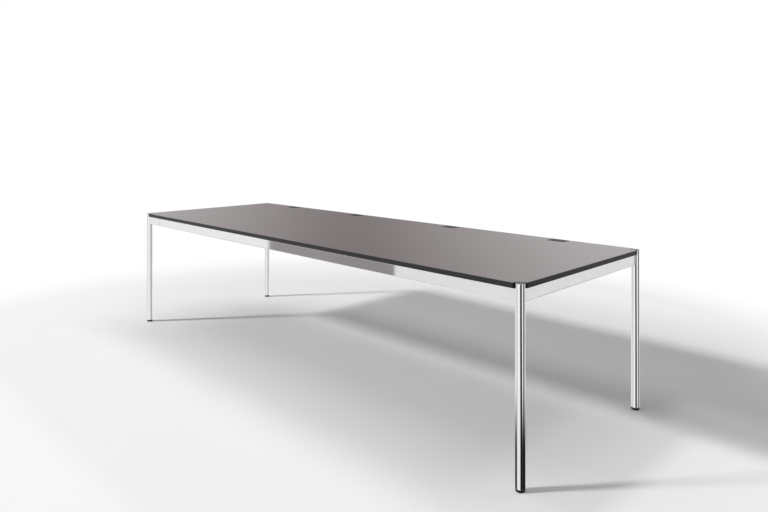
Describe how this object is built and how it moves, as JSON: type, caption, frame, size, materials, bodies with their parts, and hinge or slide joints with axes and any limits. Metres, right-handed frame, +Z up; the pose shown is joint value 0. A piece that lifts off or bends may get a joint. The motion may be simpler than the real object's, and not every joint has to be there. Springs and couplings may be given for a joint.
{
  "type": "conference table",
  "caption": "Long rectangular conference table: thin grey laminate top with black edge, round chrome legs, chrome rail frame, hinged cable ports along one edge and screw-down levelling feet.",
  "frame": {"origin": "middle of the table on the floor", "axes": "+X along the table, +Y towards the edge with the cable ports, +Z up"},
  "size_m": [3, 1, 0.74],
  "materials": {
    "laminate_grey": "satin warm grey laminate",
    "board": "pressed board",
    "backing_grey": "matt backing sheet",
    "edge_black": "satin black edge band",
    "chrome": "polished chrome",
    "steel_black": "black powder coat",
    "zinc": "zinc plated",
    "plastic_black": "fine textured black",
    "plastic_dark": "plain moulded"
  },
  "bodies": {
    "table": {"top_laminate": "laminate_grey", "top_core": "board", "backing_laminate": "backing_grey", "edge_band_front": "edge_black", "rail_front": "chrome", "edge_band_rear": "edge_black", "rail_rear": "chrome", "edge_band_left": "edge_black", "rail_left": "chrome", "edge_band_right": "edge_black", "rail_right": "chrome", "cross_beam_left": "steel_black", "top_screw_beam_left": "zinc", "cross_beam_right": "steel_black", "top_screw_beam_right": "zinc", "leg_front_left": "chrome", "leg_cap_front_left": "plastic_black", "leg_insert_front_left": "plastic_dark", "notch_liner_front_left": "edge_black", "corner_bracket_front_left": "zinc", "corner_bolt_front_left": "zinc", "top_screw_front_left": "zinc", "leg_front_right": "chrome", "leg_cap_front_right": "plastic_black", "leg_insert_front_right": "plastic_dark", "notch_liner_front_right": "edge_black", "corner_bracket_front_right": "zinc", "corner_bolt_front_right": "zinc", "top_screw_front_right": "zinc", "leg_rear_right": "chrome", "leg_cap_rear_right": "plastic_black", "leg_insert_rear_right": "plastic_dark", "notch_liner_rear_right": "edge_black", "corner_bracket_rear_right": "zinc", "corner_bolt_rear_right": "zinc", "top_screw_rear_right": "zinc", "leg_rear_left": "chrome", "leg_cap_rear_left": "plastic_black", "leg_insert_rear_left": "plastic_dark", "notch_liner_rear_left": "edge_black", "corner_bracket_rear_left": "zinc", "corner_bolt_rear_left": "zinc", "top_screw_rear_left": "zinc", "port_frame_1": "plastic_black", "port_frame_2": "plastic_black", "port_frame_3": "plastic_black", "port_frame_4": "plastic_black"},
    "flap_1": {"port_flap_1": "plastic_black"},
    "flap_2": {"port_flap_2": "plastic_black"},
    "flap_3": {"port_flap_3": "plastic_black"},
    "flap_4": {"port_flap_4": "plastic_black"},
    "stud_front_left": {"foot_stud_front_left": "zinc"},
    "pad_front_left": {"foot_pad_front_left": "plastic_black"},
    "stud_front_right": {"foot_stud_front_right": "zinc"},
    "pad_front_right": {"foot_pad_front_right": "plastic_black"},
    "stud_rear_right": {"foot_stud_rear_right": "zinc"},
    "pad_rear_right": {"foot_pad_rear_right": "plastic_black"},
    "stud_rear_left": {"foot_stud_rear_left": "zinc"},
    "pad_rear_left": {"foot_pad_rear_left": "plastic_black"}
  },
  "joints": [
    {"name": "flap_1_hinge", "type": "hinge", "parent": "table", "child": "flap_1", "pos_m": [-1.098, 0.4842, 0.7366], "axis": [-1, 0, 0], "range_deg": [0, 95]},
    {"name": "flap_2_hinge", "type": "hinge", "parent": "table", "child": "flap_2", "pos_m": [-0.404, 0.4842, 0.7366], "axis": [-1, 0, 0], "range_deg": [0, 95]},
    {"name": "flap_3_hinge", "type": "hinge", "parent": "table", "child": "flap_3", "pos_m": [0.404, 0.4842, 0.7366], "axis": [-1, 0, 0], "range_deg": [0, 95]},
    {"name": "flap_4_hinge", "type": "hinge", "parent": "table", "child": "flap_4", "pos_m": [1.098, 0.4842, 0.7366], "axis": [-1, 0, 0], "range_deg": [0, 95]},
    {"name": "foot_travel_front_left", "type": "slide", "parent": "table", "child": "stud_front_left", "axis": [0, 0, -1], "range_m": [0, 0.012]},
    {"name": "foot_turn_front_left", "type": "hinge", "parent": "stud_front_left", "child": "pad_front_left", "pos_m": [-1.482, -0.482, 0.005], "axis": [0, 0, -1], "range_deg": [0, 2880]},
    {"name": "foot_travel_front_right", "type": "slide", "parent": "table", "child": "stud_front_right", "axis": [0, 0, -1], "range_m": [0, 0.012]},
    {"name": "foot_turn_front_right", "type": "hinge", "parent": "stud_front_right", "child": "pad_front_right", "pos_m": [1.482, -0.482, 0.005], "axis": [0, 0, -1], "range_deg": [0, 2880]},
    {"name": "foot_travel_rear_right", "type": "slide", "parent": "table", "child": "stud_rear_right", "axis": [0, 0, -1], "range_m": [0, 0.012]},
    {"name": "foot_turn_rear_right", "type": "hinge", "parent": "stud_rear_right", "child": "pad_rear_right", "pos_m": [1.482, 0.482, 0.005], "axis": [0, 0, -1], "range_deg": [0, 2880]},
    {"name": "foot_travel_rear_left", "type": "slide", "parent": "table", "child": "stud_rear_left", "axis": [0, 0, -1], "range_m": [0, 0.012]},
    {"name": "foot_turn_rear_left", "type": "hinge", "parent": "stud_rear_left", "child": "pad_rear_left", "pos_m": [-1.482, 0.482, 0.005], "axis": [0, 0, -1], "range_deg": [0, 2880]}
  ],
  "couplings": [
    {"joint": "foot_travel_front_left", "follows": "foot_turn_front_left", "m_per_rad": 0.0002387},
    {"joint": "foot_travel_front_right", "follows": "foot_turn_front_right", "m_per_rad": 0.0002387},
    {"joint": "foot_travel_rear_right", "follows": "foot_turn_rear_right", "m_per_rad": 0.0002387},
    {"joint": "foot_travel_rear_left", "follows": "foot_turn_rear_left", "m_per_rad": 0.0002387}
  ]
}
